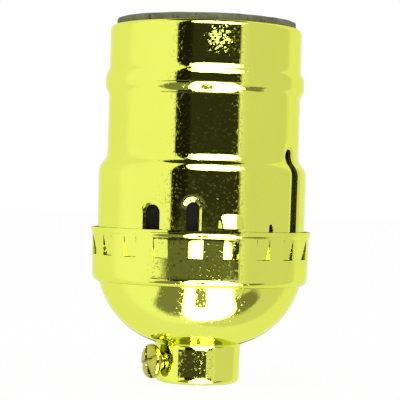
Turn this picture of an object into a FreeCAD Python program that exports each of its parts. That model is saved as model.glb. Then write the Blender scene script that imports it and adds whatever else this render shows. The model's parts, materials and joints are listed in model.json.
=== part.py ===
"""Keyless medium screw base lamp holder: drawn brass cap and shell on a fibre-lined interior.

Millimetres. The origin is the centre of the cap's neck at its lower rim, +Z runs up the
axis to the mouth, and the front of the holder is -Y. Azimuths are degrees from the front,
turning towards +X.
"""

import FreeCAD, Part
import math
import os
import Sketcher
from FreeCAD import Placement, Rotation, Vector

SIZES = {
    # cap: neck, dome and crown drawn from one sheet
    "cap_sheet": 0.5,
    "neck_radius": 7.15,
    "neck_roll": 1.0,
    "neck_lip_radius": 5.9,
    "neck_top": 6.2,
    "neck_fillet": 0.5,
    "flange_radius": 9.3,
    "flange_top": 7.4,
    "flange_inner_radius": 9.08,
    "flange_inner_top": 7.85,
    "dome_centre_radius": 3.03,
    "dome_centre_height": 20.26,
    "dome_arc": 14.3,
    "shoulder_height": 16.6,
    "crown_radius": 18.2,
    "crown_corner": 1.3,
    "crown_lip_radius": 18.4,
    "crown_lip_start": 24.5,
    "crown_lip_end": 25.0,
    "crown_top": 25.6,
    # lanced tabs round the crown
    "tab_count": 20,
    "tab_turn": -2.4,
    "tab_width": 2.35,
    "tab_gap": 0.08,
    "tab_bottom": 21.2,
    "tab_top": 24.4,
    "tab_push": 0.38,
    "tab_overlap": 0.1,
    # threaded bushing pressed in the neck, for lamp pipe of 10 mm
    "pipe_bore_radius": 4.6,
    "bushing_radius": 6.5,
    "bushing_bottom": 0.6,
    "bushing_flange_radius": 8.0,
    "bushing_flange_bottom": 7.5,
    "bushing_top": 8.6,
    "bushing_chamfer": 0.4,
    # set screw through the neck
    "set_screw_turn": -60.0,
    "set_screw_height": 3.6,
    "set_screw_radius": 1.5,
    "set_screw_play": 0.06,
    "set_screw_tip": 5.1,
    "set_screw_head_radius": 2.85,
    "set_screw_head_start": 8.2,
    "set_screw_face": 9.7,
    "set_screw_slot_half": 0.42,
    "set_screw_slot_depth": 0.75,
    "set_screw_edge": 0.35,
    # fibre cup in the dome
    "cup_floor": 9.0,
    "cup_hole_radius": 5.6,
    "cup_wall": 0.6,
    "cup_gap": 0.3,
    "cup_rim": 14.8,
    # outer shell
    "shell_sheet": 0.45,
    "shell_bottom": 17.2,
    "shell_foot_radius": 17.25,
    "shell_wide_radius": 17.4,
    "shell_wide_top": 34.7,
    "waist_middle": 36.5,
    "shell_neck_radius": 16.03,
    "shell_neck_start": 38.3,
    "shell_waist_arc": 2.706,
    "bead_bottom": 47.9,
    "bead_middle": 50.25,
    "bead_top": 52.6,
    "bead_radius": 16.65,
    "bead_arc": 2.38,
    "shell_lip_start": 58.5,
    "shell_lip_arc": 0.9,
    # slots that let the shell's foot spring, and the lugs that lock it on the crown
    "short_slot_turn": -27.0,
    "short_slot_half": 1.25,
    "short_slot_top": 29.6,
    "catch_slot_turn": -4.6,
    "catch_slot_half": 1.0,
    "catch_slot_top": 30.2,
    "slit_turn": 41.0,
    "slit_half": 0.35,
    "slit_top": 26.9,
    "tall_slot_turn": 62.0,
    "tall_slot_half": 1.1,
    "tall_slot_top": 39.2,
    "lug_turn": 16.0,
    "lug_sweep": 15.0,
    "lug_low": 26.1,
    "lug_high": 28.7,
    "lug_reach": 18.1,
    # fibre liner in the shell
    "liner_wall": 0.8,
    "liner_bottom": 18.3,
    "liner_wide_radius": 16.6,
    "liner_wide_top": 34.3,
    "liner_neck_radius": 15.0,
    "liner_neck_start": 38.7,
    "liner_top": 60.5,
    "liner_seam_half": 0.15,
    "liner_arc": 3.4,
    "liner_seam_turn": -38.0,
    # moulded terminal block
    "block_foot_radius": 15.2,
    "block_foot_bottom": 14.85,
    "block_flange_radius": 16.05,
    "block_flange_bottom": 16.65,
    "block_flange_top": 18.2,
    "block_radius": 13.9,
    "block_top": 30.0,
    "block_cavity_radius": 12.3,
    "block_cavity_top": 18.6,
    "recess_reach": 11.2,
    "recess_half": 6.0,
    "recess_floor": 19.4,
    "wire_hole_reach": 13.0,
    "wire_hole_radius": 1.4,
    # terminal plates and screws
    "plate_sheet": 0.8,
    "plate_half": 4.5,
    "plate_bottom": 19.9,
    "plate_play": 0.1,
    "line_tab_end": 2.9,
    "line_tab_half": 2.5,
    "neutral_tab_end": 6.2,
    "neutral_tab_side": 6.9,
    "terminal_height": 24.2,
    "terminal_radius": 1.7,
    "terminal_tip": 7.4,
    "terminal_play": 0.05,
    "terminal_head_radius": 3.4,
    "terminal_head_start": 12.9,
    "terminal_face": 14.7,
    "terminal_slot_half": 0.5,
    "terminal_slot_depth": 0.9,
    "terminal_edge": 0.3,
    # upper insulator and the screw shell riveted on it
    "insulator_radius": 13.5,
    "insulator_shoulder": 33.6,
    "insulator_boss_radius": 12.9,
    "insulator_top": 37.0,
    "insulator_floor": 33.0,
    "insulator_recess_radius": 7.0,
    "screw_sheet": 0.3,
    "screw_crest_radius": 12.4,
    "screw_flange_radius": 7.3,
    "thread_pitch": 3.63,
    "thread_start": 39.4,
    "thread_rise": 14.5,
    "thread_arc_centre": 11.77,
    "thread_arc": 1.53,
    "thread_root": 12.0,
    "mouth_radius": 13.35,
    "mouth_start": 53.9,
    "mouth_top": 57.0,
    # rivets
    "rivet_circle": 9.6,
    "rivet_radius": 1.2,
    "rivet_head_radius": 2.1,
    "rivet_head": 0.9,
    "contact_rivet_reach": 5.0,
    "contact_rivet_radius": 1.0,
    "contact_rivet_head_radius": 1.7,
    "contact_rivet_head": 0.7,
    # sprung centre contact
    "contact_sheet": 0.4,
    "contact_half": 2.3,
    "contact_root": 6.4,
    "contact_bend": 2.2,
    "contact_curl": 1.7,
    "contact_curl_reach": 1.4,
    "contact_curl_height": 39.3,
    "contact_end_height": 38.2,
}

RIVET_TURNS = (0.0, 120.0, 240.0)
THREAD_END_TURN = 3.0
FRONT_AND_BACK = (0.0, 180.0)

doc = FreeCAD.newDocument("LampHolder")
sheet = doc.addObject("Spreadsheet::Sheet", "Sizes")
for row, (alias, size) in enumerate(SIZES.items(), start=1):
    sheet.set(f"A{row}", alias)
    sheet.set(f"B{row}", str(size))
    sheet.setAlias(f"B{row}", alias)
doc.recompute()


def number(text):
    """The value of a sum such as "neck_radius - cap_sheet"."""
    total, sign = 0.0, 1.0
    for word in text.split():
        if word == "+":
            sign = 1.0
        elif word == "-":
            sign = -1.0
        else:
            total += sign * (sheet.get(word) if word[0].isalpha() else float(word))
    return total


def formula(text):
    """The same sum as an expression on the sheet's cells."""
    return " ".join(f"Sizes.{word}" if word[0].isalpha() else word for word in text.split())


def bind(feature, path, text):
    feature.setExpression(path, formula(text))


def pin_coordinate(sketch, constraint, text, geometry, point):
    """Holds one coordinate of a point at a sum of the sheet's sizes, on either side of the origin."""
    value = number(text)
    if abs(value) < 1e-9:
        axis = -2 if constraint == "DistanceX" else -1
        sketch.addConstraint(Sketcher.Constraint("PointOnObject", geometry, point, axis))
    elif value > 0:
        index = sketch.addConstraint(Sketcher.Constraint(constraint, -1, 1, geometry, point, value))
        bind(sketch, f"Constraints[{index}]", text)
    else:
        index = sketch.addConstraint(Sketcher.Constraint(constraint, geometry, point, -1, 1, -value))
        sketch.setExpression(f"Constraints[{index}]", f"-({formula(text)})")


def arc_middle(start, end, radius, side):
    """The middle of the shorter arc, bulging to the right (side 1) or left (-1) of the way it runs."""
    chord = end - start
    sagitta = radius - math.sqrt(radius**2 - (chord.Length / 2) ** 2)
    outward = Vector(chord.y, -chord.x, 0).normalize()
    return (start + end) / 2 + outward * sagitta * side


def draw_outline(sketch, corners):
    """A closed outline. A corner is (x, y), or (x, y, arc radius, side) where an arc runs to it."""
    places = [Vector(number(corner[0]), number(corner[1]), 0) for corner in corners]
    ends = []
    for index, corner in enumerate(corners):
        start, end = places[index - 1], places[index]
        if len(corner) == 2:
            geometry = sketch.addGeometry(Part.LineSegment(start, end))
            ends.append((geometry, 1, 2))
            continue
        radius = number(corner[2])
        curve = Part.Arc(start, arc_middle(start, end, radius, corner[3]), end)
        geometry = sketch.addGeometry(curve)
        forwards = sketch.getPoint(geometry, 1).distanceToPoint(start) < 1e-6
        ends.append((geometry, 1, 2) if forwards else (geometry, 2, 1))
    for index, corner in enumerate(corners):
        geometry, _, last = ends[index]
        follower, first, _ = ends[(index + 1) % len(corners)]
        sketch.addConstraint(Sketcher.Constraint("Coincident", geometry, last, follower, first))
        pin_coordinate(sketch, "DistanceX", corner[0], geometry, last)
        pin_coordinate(sketch, "DistanceY", corner[1], geometry, last)
        if len(corner) == 4:
            fixed = sketch.addConstraint(Sketcher.Constraint("Radius", geometry, number(corner[2])))
            bind(sketch, f"Constraints[{fixed}]", corner[2])


def draw_rectangle(sketch, left, right, low, high):
    draw_outline(sketch, [(left, low), (right, low), (right, high), (left, high)])


def draw_circle(sketch, across, up, radius):
    circle = Part.Circle(Vector(number(across), number(up), 0), Vector(0, 0, 1), number(radius))
    geometry = sketch.addGeometry(circle)
    pin_coordinate(sketch, "DistanceX", across, geometry, 3)
    pin_coordinate(sketch, "DistanceY", up, geometry, 3)
    fixed = sketch.addConstraint(Sketcher.Constraint("Radius", geometry, number(radius)))
    bind(sketch, f"Constraints[{fixed}]", radius)


def new_body(label):
    body = doc.addObject("PartDesign::Body", label)
    body.Label = label
    return body


def origin_part(body, role):
    return next(part for part in body.Origin.OriginFeatures if part.Role == role)


def new_sketch(body, name, plane="XZ_Plane", turn=None, lift=None):
    """A sketch on an origin plane, turned about Z on an upright plane or lifted off a level one."""
    sketch = body.newObject("Sketcher::SketchObject", name)
    sketch.AttachmentSupport = [(origin_part(body, plane), "")]
    sketch.MapMode = "FlatFace"
    if turn is not None:
        sketch.AttachmentOffset = Placement(Vector(), Rotation(Vector(0, 1, 0), number(turn)))
        bind(sketch, ".AttachmentOffset.Rotation.Angle", turn)
    if lift is not None:
        sketch.AttachmentOffset = Placement(Vector(0, 0, number(lift)), Rotation())
        bind(sketch, ".AttachmentOffset.Base.z", lift)
    return sketch


def finish_feature(feature, adds):
    """Recomputes a feature and makes sure that it added or removed metal."""
    doc.recompute()
    base = feature.BaseFeature
    before = base.Shape.Volume if base else 0.0
    change = feature.Shape.Volume - before
    if (change > 0) != adds or abs(change) < 1e-6:
        raise RuntimeError(f"{feature.Label} changed the volume by {change:.4f}")
    return feature


def revolve(body, name, corners, cuts=False, turn=None, sweep=None):
    """Revolves a profile about Z: all round, or over a sweep centred on the sketch's plane."""
    sketch = new_sketch(body, f"{name}_profile", turn=turn)
    draw_outline(sketch, corners)
    kind = "PartDesign::Groove" if cuts else "PartDesign::Revolution"
    feature = body.newObject(kind, name)
    feature.Profile = sketch
    feature.ReferenceAxis = (sketch, ["V_Axis"])
    feature.Angle = 360
    if sweep:
        feature.Midplane = True
        feature.Angle = number(sweep)
        bind(feature, "Angle", sweep)
    return finish_feature(feature, not cuts)


def pad(body, name, sketch, length, midplane=False, reverse=False):
    feature = body.newObject("PartDesign::Pad", name)
    feature.Profile = sketch
    feature.Length = number(length)
    bind(feature, "Length", length)
    feature.Midplane = midplane
    feature.Reversed = reverse
    return finish_feature(feature, True)


def pocket(body, name, sketch, length, midplane=False, reverse=False):
    feature = body.newObject("PartDesign::Pocket", name)
    feature.Profile = sketch
    feature.Length = number(length)
    bind(feature, "Length", length)
    feature.Midplane = midplane
    feature.Reversed = reverse
    return finish_feature(feature, False)


def turn_copies(body, name, originals, count):
    """Repeats features evenly round the Z axis, and makes them the body's last step."""
    pattern = body.newObject("PartDesign::PolarPattern", name)
    pattern.Originals = originals
    pattern.Axis = (origin_part(body, "Z_Axis"), [""])
    pattern.Angle = 360
    pattern.Occurrences = count
    body.Tip = pattern
    doc.recompute()
    return pattern


def outward(turn, reach, height):
    """The point at a reach from the axis, on an azimuth from the front."""
    angle = math.radians(turn)
    return Vector(reach * math.sin(angle), -reach * math.cos(angle), height)


def facing(turn):
    """Turns a screw's own +Z to face straight out from the axis."""
    return Rotation(Vector(0, 0, 1), turn) * Rotation(Vector(1, 0, 0), 90)


# ---- cap ----------------------------------------------------------------------------------


def dome_reach(height, inset):
    """Radius of the dome's arc at a height, set in from the outer face."""
    arc = sheet.dome_arc - inset
    return sheet.dome_centre_radius + math.sqrt(arc**2 - (sheet.dome_centre_height - height) ** 2)


def make_cap():
    """Neck, flange, dome and crown in one wall of sheet brass, with its lower rim rolled in."""
    body = new_body("cap")
    shoulder_inside = number("shoulder_height + cap_sheet")
    revolve(
        body,
        "drawn_wall",
        [
            ("neck_lip_radius", "0"),
            ("neck_radius - neck_roll", "0"),
            ("neck_radius", "neck_roll", "neck_roll", 1),
            ("neck_radius", "neck_top"),
            ("neck_radius + neck_fillet", "neck_top + neck_fillet", "neck_fillet", -1),
            ("flange_radius", "flange_top"),
            (str(dome_reach(sheet.shoulder_height, 0)), "shoulder_height", "dome_arc", 1),
            ("crown_radius - crown_corner", "shoulder_height"),
            ("crown_radius", "shoulder_height + crown_corner", "crown_corner", 1),
            ("crown_radius", "crown_lip_start"),
            ("crown_lip_radius", "crown_lip_end"),
            ("crown_lip_radius", "crown_top"),
            ("crown_lip_radius - cap_sheet", "crown_top"),
            ("crown_lip_radius - cap_sheet", "crown_lip_end"),
            ("crown_radius - cap_sheet", "crown_lip_start"),
            ("crown_radius - cap_sheet", "shoulder_height + crown_corner"),
            (
                "crown_radius - crown_corner",
                "shoulder_height + cap_sheet",
                "crown_corner - cap_sheet",
                -1,
            ),
            (str(dome_reach(shoulder_inside, sheet.cap_sheet)), "shoulder_height + cap_sheet"),
            ("flange_inner_radius", "flange_inner_top", "dome_arc - cap_sheet", -1),
            ("neck_radius + neck_fillet", "neck_top + neck_fillet + cap_sheet"),
            ("neck_radius - cap_sheet", "neck_top", "neck_fillet + cap_sheet", 1),
            ("neck_radius - cap_sheet", "neck_roll"),
            ("neck_radius - neck_roll", "cap_sheet", "neck_roll - cap_sheet", -1),
            ("neck_lip_radius", "cap_sheet"),
        ],
    )
    window = new_sketch(body, "tab_window", turn="tab_turn - 90")
    draw_rectangle(
        window,
        "crown_radius - 2",
        "crown_radius + 2",
        "tab_bottom - tab_gap",
        "tab_top",
    )
    lance = pocket(body, "lanced_window", window, "tab_width + tab_gap + tab_gap", midplane=True)
    side = new_sketch(body, "tab_side", turn="tab_turn - 90")
    draw_outline(
        side,
        [
            ("crown_radius - cap_sheet - tab_push", "tab_bottom"),
            ("crown_radius - tab_push", "tab_bottom"),
            ("crown_radius", "tab_top"),
            ("crown_radius", "tab_top + tab_overlap"),
            ("crown_radius - cap_sheet", "tab_top + tab_overlap"),
            ("crown_radius - cap_sheet", "tab_top"),
        ],
    )
    tab = pad(body, "pushed_tab", side, "tab_width", midplane=True)
    turn_copies(body, "crown_tabs", [lance, tab], int(sheet.tab_count))
    hole = new_sketch(body, "set_screw_hole_sketch", turn="set_screw_turn")
    draw_circle(hole, "0", "set_screw_height", "set_screw_radius + set_screw_play + set_screw_play")
    pocket(body, "set_screw_hole", hole, "neck_radius + 2", reverse=True)
    return body


def make_threaded_bushing():
    """Steel ring in the neck, tapped for lamp pipe and for the set screw."""
    body = new_body("threaded_bushing")
    revolve(
        body,
        "turned_ring",
        [
            ("pipe_bore_radius + bushing_chamfer", "bushing_bottom"),
            ("bushing_radius - 0.5", "bushing_bottom"),
            ("bushing_radius", "bushing_bottom + 0.5"),
            ("bushing_radius", "bushing_flange_bottom"),
            ("bushing_flange_radius", "bushing_flange_bottom"),
            ("bushing_flange_radius", "bushing_top"),
            ("pipe_bore_radius + bushing_chamfer", "bushing_top"),
            ("pipe_bore_radius", "bushing_top - bushing_chamfer"),
            ("pipe_bore_radius", "bushing_bottom + bushing_chamfer"),
        ],
    )
    hole = new_sketch(body, "tapped_hole_sketch", turn="set_screw_turn")
    draw_circle(hole, "0", "set_screw_height", "set_screw_radius + set_screw_play")
    pocket(body, "tapped_hole", hole, "bushing_flange_radius + 1", reverse=True)
    return body


def make_screw(label, kind, turn, crossed):
    """A headed screw along its own +Z, with one slot or a cross of two, set to face out on a turn."""
    radius, tip, face = f"{kind}_radius", f"{kind}_tip", f"{kind}_face"
    head_start, head_radius, edge = f"{kind}_head_start", f"{kind}_head_radius", f"{kind}_edge"
    body = new_body(label)
    revolve(
        body,
        "turned_screw",
        [
            ("0", tip),
            (f"{radius} - 0.3", tip),
            (radius, f"{tip} + 0.3"),
            (radius, head_start),
            (f"{head_radius} - 0.15", head_start),
            (head_radius, f"{head_start} + 0.15"),
            (head_radius, f"{face} - {edge}"),
            (f"{head_radius} - {edge}", face, edge, 1),
            ("0", face),
        ],
    )
    slot = new_sketch(body, "slot_sketch", plane="XY_Plane", lift=face)
    across, half = f"{head_radius} + 1", f"{kind}_slot_half"
    draw_rectangle(slot, f"0 - {head_radius} - 1", across, f"0 - {half}", half)
    cut = pocket(body, "head_slot", slot, f"{kind}_slot_depth")
    if crossed:
        turn_copies(body, "crossed_slots", [cut], 4)
    body.Placement = Placement(Vector(0, 0, number(f"{kind}_height")), facing(turn))
    return body


def make_cap_liner():
    """Fibre cup that keeps the terminals off the dome; its rim carries the terminal block."""
    body = new_body("cap_liner")
    outer = sheet.cap_sheet + sheet.cup_gap
    inner = outer + sheet.cup_wall
    floor_top = sheet.cup_floor + sheet.cup_wall
    revolve(
        body,
        "pressed_cup",
        [
            ("cup_hole_radius", "cup_floor"),
            (str(dome_reach(sheet.cup_floor, outer)), "cup_floor"),
            (str(dome_reach(sheet.cup_rim, outer)), "cup_rim", "dome_arc - cap_sheet - cup_gap", 1),
            (str(dome_reach(sheet.cup_rim, inner)), "cup_rim"),
            (
                str(dome_reach(floor_top, inner)),
                "cup_floor + cup_wall",
                "dome_arc - cap_sheet - cup_gap - cup_wall",
                -1,
            ),
            ("cup_hole_radius", "cup_floor + cup_wall"),
        ],
    )
    return body


# ---- shell --------------------------------------------------------------------------------


def cut_slot(body, kind, side=0.0):
    """A round-topped slot in one side of the shell, open at its foot, turned on by some degrees."""
    name = f"{kind}_{side:.0f}"
    half, top = f"{kind}_half", f"{kind}_top"
    sketch = new_sketch(body, f"{name}_sketch", turn=f"{kind}_turn + {side:.0f}")
    draw_outline(
        sketch,
        [
            (f"0 - {half}", "shell_bottom - 1"),
            (half, "shell_bottom - 1"),
            (half, f"{top} - {half}"),
            ("0", top, half, 1),
            (f"0 - {half}", f"{top} - {half}", half, 1),
        ],
    )
    return pocket(body, name, sketch, "shell_wide_radius + 5", reverse=True)


def raise_lug(body, side):
    """A ramp lanced out of the shell: flush at its top, and open under its sheared lower edge."""
    turn = f"lug_turn - 90 + {side:.0f}"
    ramp = [
        ("shell_foot_radius - shell_sheet", "lug_low"),
        ("lug_reach", "lug_low"),
        ("shell_wide_radius", "lug_high"),
        ("shell_foot_radius - shell_sheet", "lug_high"),
    ]
    revolve(body, f"lug_{side:.0f}", ramp, turn=turn, sweep="lug_sweep")
    under = [
        ("shell_foot_radius - shell_sheet - 1", "lug_low"),
        ("lug_reach - shell_sheet", "lug_low"),
        ("shell_foot_radius - shell_sheet", "lug_high"),
        ("shell_foot_radius - shell_sheet - 1", "lug_high"),
    ]
    narrower = "lug_sweep - 2"
    revolve(body, f"lug_hollow_{side:.0f}", under, cuts=True, turn=turn, sweep=narrower)


def make_outer_shell():
    """Drawn brass shell: sprung slotted foot, waist, bead and an inward-rolled mouth."""
    body = new_body("outer_shell")
    waist_radius = str((sheet.shell_wide_radius + sheet.shell_neck_radius) / 2)
    bead_flank_radius = str((sheet.shell_neck_radius + sheet.bead_radius) / 2)
    flank_low = str((sheet.bead_bottom + sheet.bead_middle) / 2)
    flank_high = str((sheet.bead_top + sheet.bead_middle) / 2)
    revolve(
        body,
        "drawn_form",
        [
            ("0", "shell_bottom"),
            ("shell_foot_radius", "shell_bottom"),
            ("shell_wide_radius", "shell_wide_top"),
            (waist_radius, "waist_middle", "shell_waist_arc", 1),
            ("shell_neck_radius", "shell_neck_start", "shell_waist_arc", -1),
            ("shell_neck_radius", "bead_bottom"),
            (bead_flank_radius, flank_low, "bead_arc", -1),
            ("bead_radius", "bead_middle", "bead_arc", 1),
            (bead_flank_radius, flank_high, "bead_arc", 1),
            ("shell_neck_radius", "bead_top", "bead_arc", -1),
            ("shell_neck_radius", "shell_lip_start"),
            ("shell_neck_radius - shell_lip_arc", "shell_lip_start + shell_lip_arc", "shell_lip_arc", 1),
            ("0", "shell_lip_start + shell_lip_arc"),
        ],
    )
    revolve(
        body,
        "hollow",
        [
            ("0", "shell_bottom - 1"),
            ("shell_foot_radius - shell_sheet", "shell_bottom - 1"),
            ("shell_foot_radius - shell_sheet", "shell_bottom"),
            ("shell_wide_radius - shell_sheet", "shell_wide_top"),
            (f"{waist_radius} - shell_sheet", "waist_middle - 0.1", "shell_waist_arc", 1),
            ("shell_neck_radius - shell_sheet", "shell_neck_start", "shell_waist_arc", -1),
            ("shell_neck_radius - shell_sheet", "bead_bottom"),
            (f"{bead_flank_radius} - shell_sheet", flank_low, "bead_arc", -1),
            ("bead_radius - shell_sheet", "bead_middle", "bead_arc", 1),
            (f"{bead_flank_radius} - shell_sheet", flank_high, "bead_arc", 1),
            ("shell_neck_radius - shell_sheet", "bead_top", "bead_arc", -1),
            ("shell_neck_radius - shell_sheet", "shell_lip_start"),
            (
                "shell_neck_radius - shell_lip_arc",
                "shell_lip_start + shell_lip_arc - shell_sheet",
                "shell_lip_arc - shell_sheet",
                1,
            ),
            ("shell_neck_radius - shell_lip_arc", "shell_lip_start + shell_lip_arc + 1"),
            ("0", "shell_lip_start + shell_lip_arc + 1"),
        ],
        cuts=True,
    )
    for side in FRONT_AND_BACK:
        raise_lug(body, side)
        for kind in ("short_slot", "catch_slot", "slit"):
            cut_slot(body, kind, side)
    cut_slot(body, "tall_slot")
    return body


def make_shell_liner():
    """Fibre sleeve that follows the shell inside, with a butt seam, and stands proud of its mouth."""
    body = new_body("shell_liner")
    middle_radius = str((sheet.liner_wide_radius + sheet.liner_neck_radius) / 2)
    revolve(
        body,
        "sleeve",
        [
            ("liner_wide_radius - liner_wall", "liner_bottom"),
            ("liner_wide_radius", "liner_bottom"),
            ("liner_wide_radius", "liner_wide_top"),
            (middle_radius, "waist_middle", "liner_arc", 1),
            ("liner_neck_radius", "liner_neck_start", "liner_arc", -1),
            ("liner_neck_radius", "liner_top"),
            ("liner_neck_radius - liner_wall", "liner_top"),
            ("liner_neck_radius - liner_wall", "liner_neck_start"),
            (f"{middle_radius} - liner_wall", "waist_middle - 0.3", "liner_arc", 1),
            ("liner_wide_radius - liner_wall", "liner_wide_top", "liner_arc", -1),
        ],
    )
    seam = new_sketch(body, "seam_sketch", turn="liner_seam_turn")
    draw_rectangle(seam, "0 - liner_seam_half", "liner_seam_half", "liner_bottom - 1", "liner_top + 1")
    pocket(body, "seam", seam, "liner_wide_radius + 1", reverse=True)
    return body


# ---- interior -----------------------------------------------------------------------------


def make_terminal_block():
    """Moulded block: stepped foot, hollow underside, and a recess with a wire hole on each side."""
    body = new_body("terminal_block")
    revolve(
        body,
        "moulded_form",
        [
            ("0", "block_foot_bottom"),
            ("block_foot_radius", "block_foot_bottom"),
            ("block_foot_radius", "block_flange_bottom"),
            ("block_flange_radius", "block_flange_bottom"),
            ("block_flange_radius", "block_flange_top"),
            ("block_radius", "block_flange_top"),
            ("block_radius", "block_top"),
            ("0", "block_top"),
        ],
    )
    revolve(
        body,
        "hollow_underside",
        [
            ("0", "block_foot_bottom - 1"),
            ("block_cavity_radius", "block_foot_bottom - 1"),
            ("block_cavity_radius - 0.4", "block_cavity_top"),
            ("0", "block_cavity_top"),
        ],
        cuts=True,
    )
    recess = new_sketch(body, "terminal_recess_sketch", plane="XY_Plane", lift="recess_floor")
    rows = ("0 - recess_half", "recess_half")
    draw_rectangle(recess, "recess_reach", "block_flange_radius + 1", *rows)
    draw_rectangle(recess, "0 - block_flange_radius - 1", "0 - recess_reach", *rows)
    pocket(body, "terminal_recesses", recess, "block_top", reverse=True)
    holes = new_sketch(body, "wire_hole_sketch", plane="XY_Plane", lift="block_foot_bottom")
    for side in ("", "0 - "):
        draw_circle(holes, f"{side}wire_hole_reach", "0", "wire_hole_radius")
    pocket(body, "wire_holes", holes, "block_foot_radius", reverse=True)
    seats = new_sketch(body, "tab_seat_sketch", plane="XY_Plane", lift="block_top")
    draw_rectangle(
        seats,
        "line_tab_end - plate_play",
        "recess_reach + 1",
        "0 - line_tab_half - plate_play",
        "line_tab_half + plate_play",
    )
    draw_rectangle(
        seats,
        "0 - recess_reach - 1",
        "0 - neutral_tab_end + plate_play",
        "0 - line_tab_half - plate_play",
        "neutral_tab_side + plate_play",
    )
    pocket(body, "tab_seats", seats, "plate_sheet")
    rivets = new_sketch(body, "rivet_hole_sketch", plane="XY_Plane", lift="block_top")
    draw_circle(rivets, "0", "0 - rivet_circle", "rivet_radius + plate_play")
    bore = pocket(body, "rivet_hole", rivets, "block_top")
    turn_copies(body, "rivet_holes", [bore], len(RIVET_TURNS))
    sink = new_sketch(body, "rivet_head_sink_sketch", plane="XY_Plane", lift="block_top")
    draw_circle(sink, "contact_rivet_reach", "0", "contact_rivet_head_radius + 0.2")
    pocket(body, "rivet_head_sink", sink, "plate_sheet + contact_rivet_head + 0.2")
    for turn in (90.0, -90.0):
        side = "right" if turn > 0 else "left"
        tapping = new_sketch(body, f"screw_hole_sketch_{side}", turn=f"{turn:.0f}")
        draw_circle(tapping, "0", "terminal_height", "terminal_radius + terminal_play")
        pocket(body, f"screw_hole_{side}", tapping, "block_radius", reverse=True)
    return body


def make_upper_insulator():
    """Moulded disc under the screw shell, with a round well for the centre contact."""
    body = new_body("upper_insulator")
    revolve(
        body,
        "moulded_disc",
        [
            ("0", "block_top"),
            ("insulator_radius", "block_top"),
            ("insulator_radius", "insulator_shoulder"),
            ("insulator_boss_radius", "insulator_shoulder"),
            ("insulator_boss_radius", "insulator_top"),
            ("insulator_recess_radius", "insulator_top"),
            ("insulator_recess_radius", "insulator_floor"),
            ("0", "insulator_floor"),
        ],
    )
    rivets = new_sketch(body, "rivet_hole_sketch", plane="XY_Plane", lift="insulator_top")
    draw_circle(rivets, "0", "0 - rivet_circle", "rivet_radius + plate_play")
    bore = pocket(body, "rivet_hole", rivets, "insulator_top")
    turn_copies(body, "rivet_holes", [bore], len(RIVET_TURNS))
    middle = new_sketch(body, "contact_rivet_hole_sketch", plane="XY_Plane", lift="insulator_floor")
    draw_circle(middle, "contact_rivet_reach", "0", "contact_rivet_radius + plate_play")
    pocket(body, "contact_rivet_hole", middle, "insulator_floor")
    return body


def add_helix(body, name, kind, inset, delay):
    """A rounded thread ridge on a cylinder, or the same ridge cut inside it, started a few degrees on."""
    sketch = new_sketch(body, f"{name}_profile", turn=f"{delay:.0f}")
    climb = sheet.thread_pitch * delay / 360
    start = f"thread_start + {climb}"
    arc = f"thread_arc{inset}"
    reach = number(arc)
    half = math.sqrt(reach**2 - (sheet.thread_root - sheet.thread_arc_centre) ** 2)
    draw_outline(
        sketch,
        [
            ("thread_root", f"{start} - {half}"),
            (f"thread_arc_centre + {arc}", start, arc, 1),
            ("thread_root", f"{start} + {half}", arc, 1),
        ],
    )
    helix = body.newObject(f"PartDesign::{kind}Helix", name)
    helix.Profile = sketch
    helix.ReferenceAxis = (sketch, ["V_Axis"])
    helix.Mode = 0
    helix.Pitch = sheet.thread_pitch
    bind(helix, "Pitch", "thread_pitch")
    helix.Height = sheet.thread_rise - 2 * climb
    bind(helix, "Height", f"thread_rise - {2 * climb}")
    return finish_feature(helix, kind == "Additive")


def make_screw_shell():
    """Thin metal shell with a rolled knuckle thread, an inward foot flange and a plain mouth."""
    body = new_body("screw_shell")
    wall_radius = "screw_crest_radius + screw_sheet"
    revolve(
        body,
        "rolled_form",
        [
            ("0", "insulator_top"),
            (wall_radius, "insulator_top"),
            (wall_radius, "mouth_start"),
            ("mouth_radius + screw_sheet", "mouth_start"),
            ("mouth_radius + screw_sheet", "mouth_top"),
            ("0", "mouth_top"),
        ],
    )
    add_helix(body, "outer_thread", "Additive", " + screw_sheet", 0.0)
    revolve(
        body,
        "hollow",
        [
            ("0", "insulator_top - 1"),
            ("screw_flange_radius", "insulator_top - 1"),
            ("screw_flange_radius", "insulator_top + screw_sheet"),
            ("screw_crest_radius", "insulator_top + screw_sheet"),
            ("screw_crest_radius", "mouth_start + screw_sheet"),
            ("mouth_radius", "mouth_start + screw_sheet"),
            ("mouth_radius", "mouth_top + 1"),
            ("0", "mouth_top + 1"),
        ],
        cuts=True,
    )
    add_helix(body, "inner_thread", "Subtractive", "", THREAD_END_TURN)
    rivets = new_sketch(body, "rivet_hole_sketch", plane="XY_Plane", lift="insulator_top + screw_sheet")
    draw_circle(rivets, "0", "0 - rivet_circle", "rivet_radius + plate_play")
    bore = pocket(body, "rivet_hole", rivets, "screw_sheet + 0.2")
    turn_copies(body, "rivet_holes", [bore], len(RIVET_TURNS))
    return body


def rivet_place(turn):
    """A body rivet's place: the first is at the front, the others follow round the axis."""
    return outward(turn, sheet.rivet_circle, 0)


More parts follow.
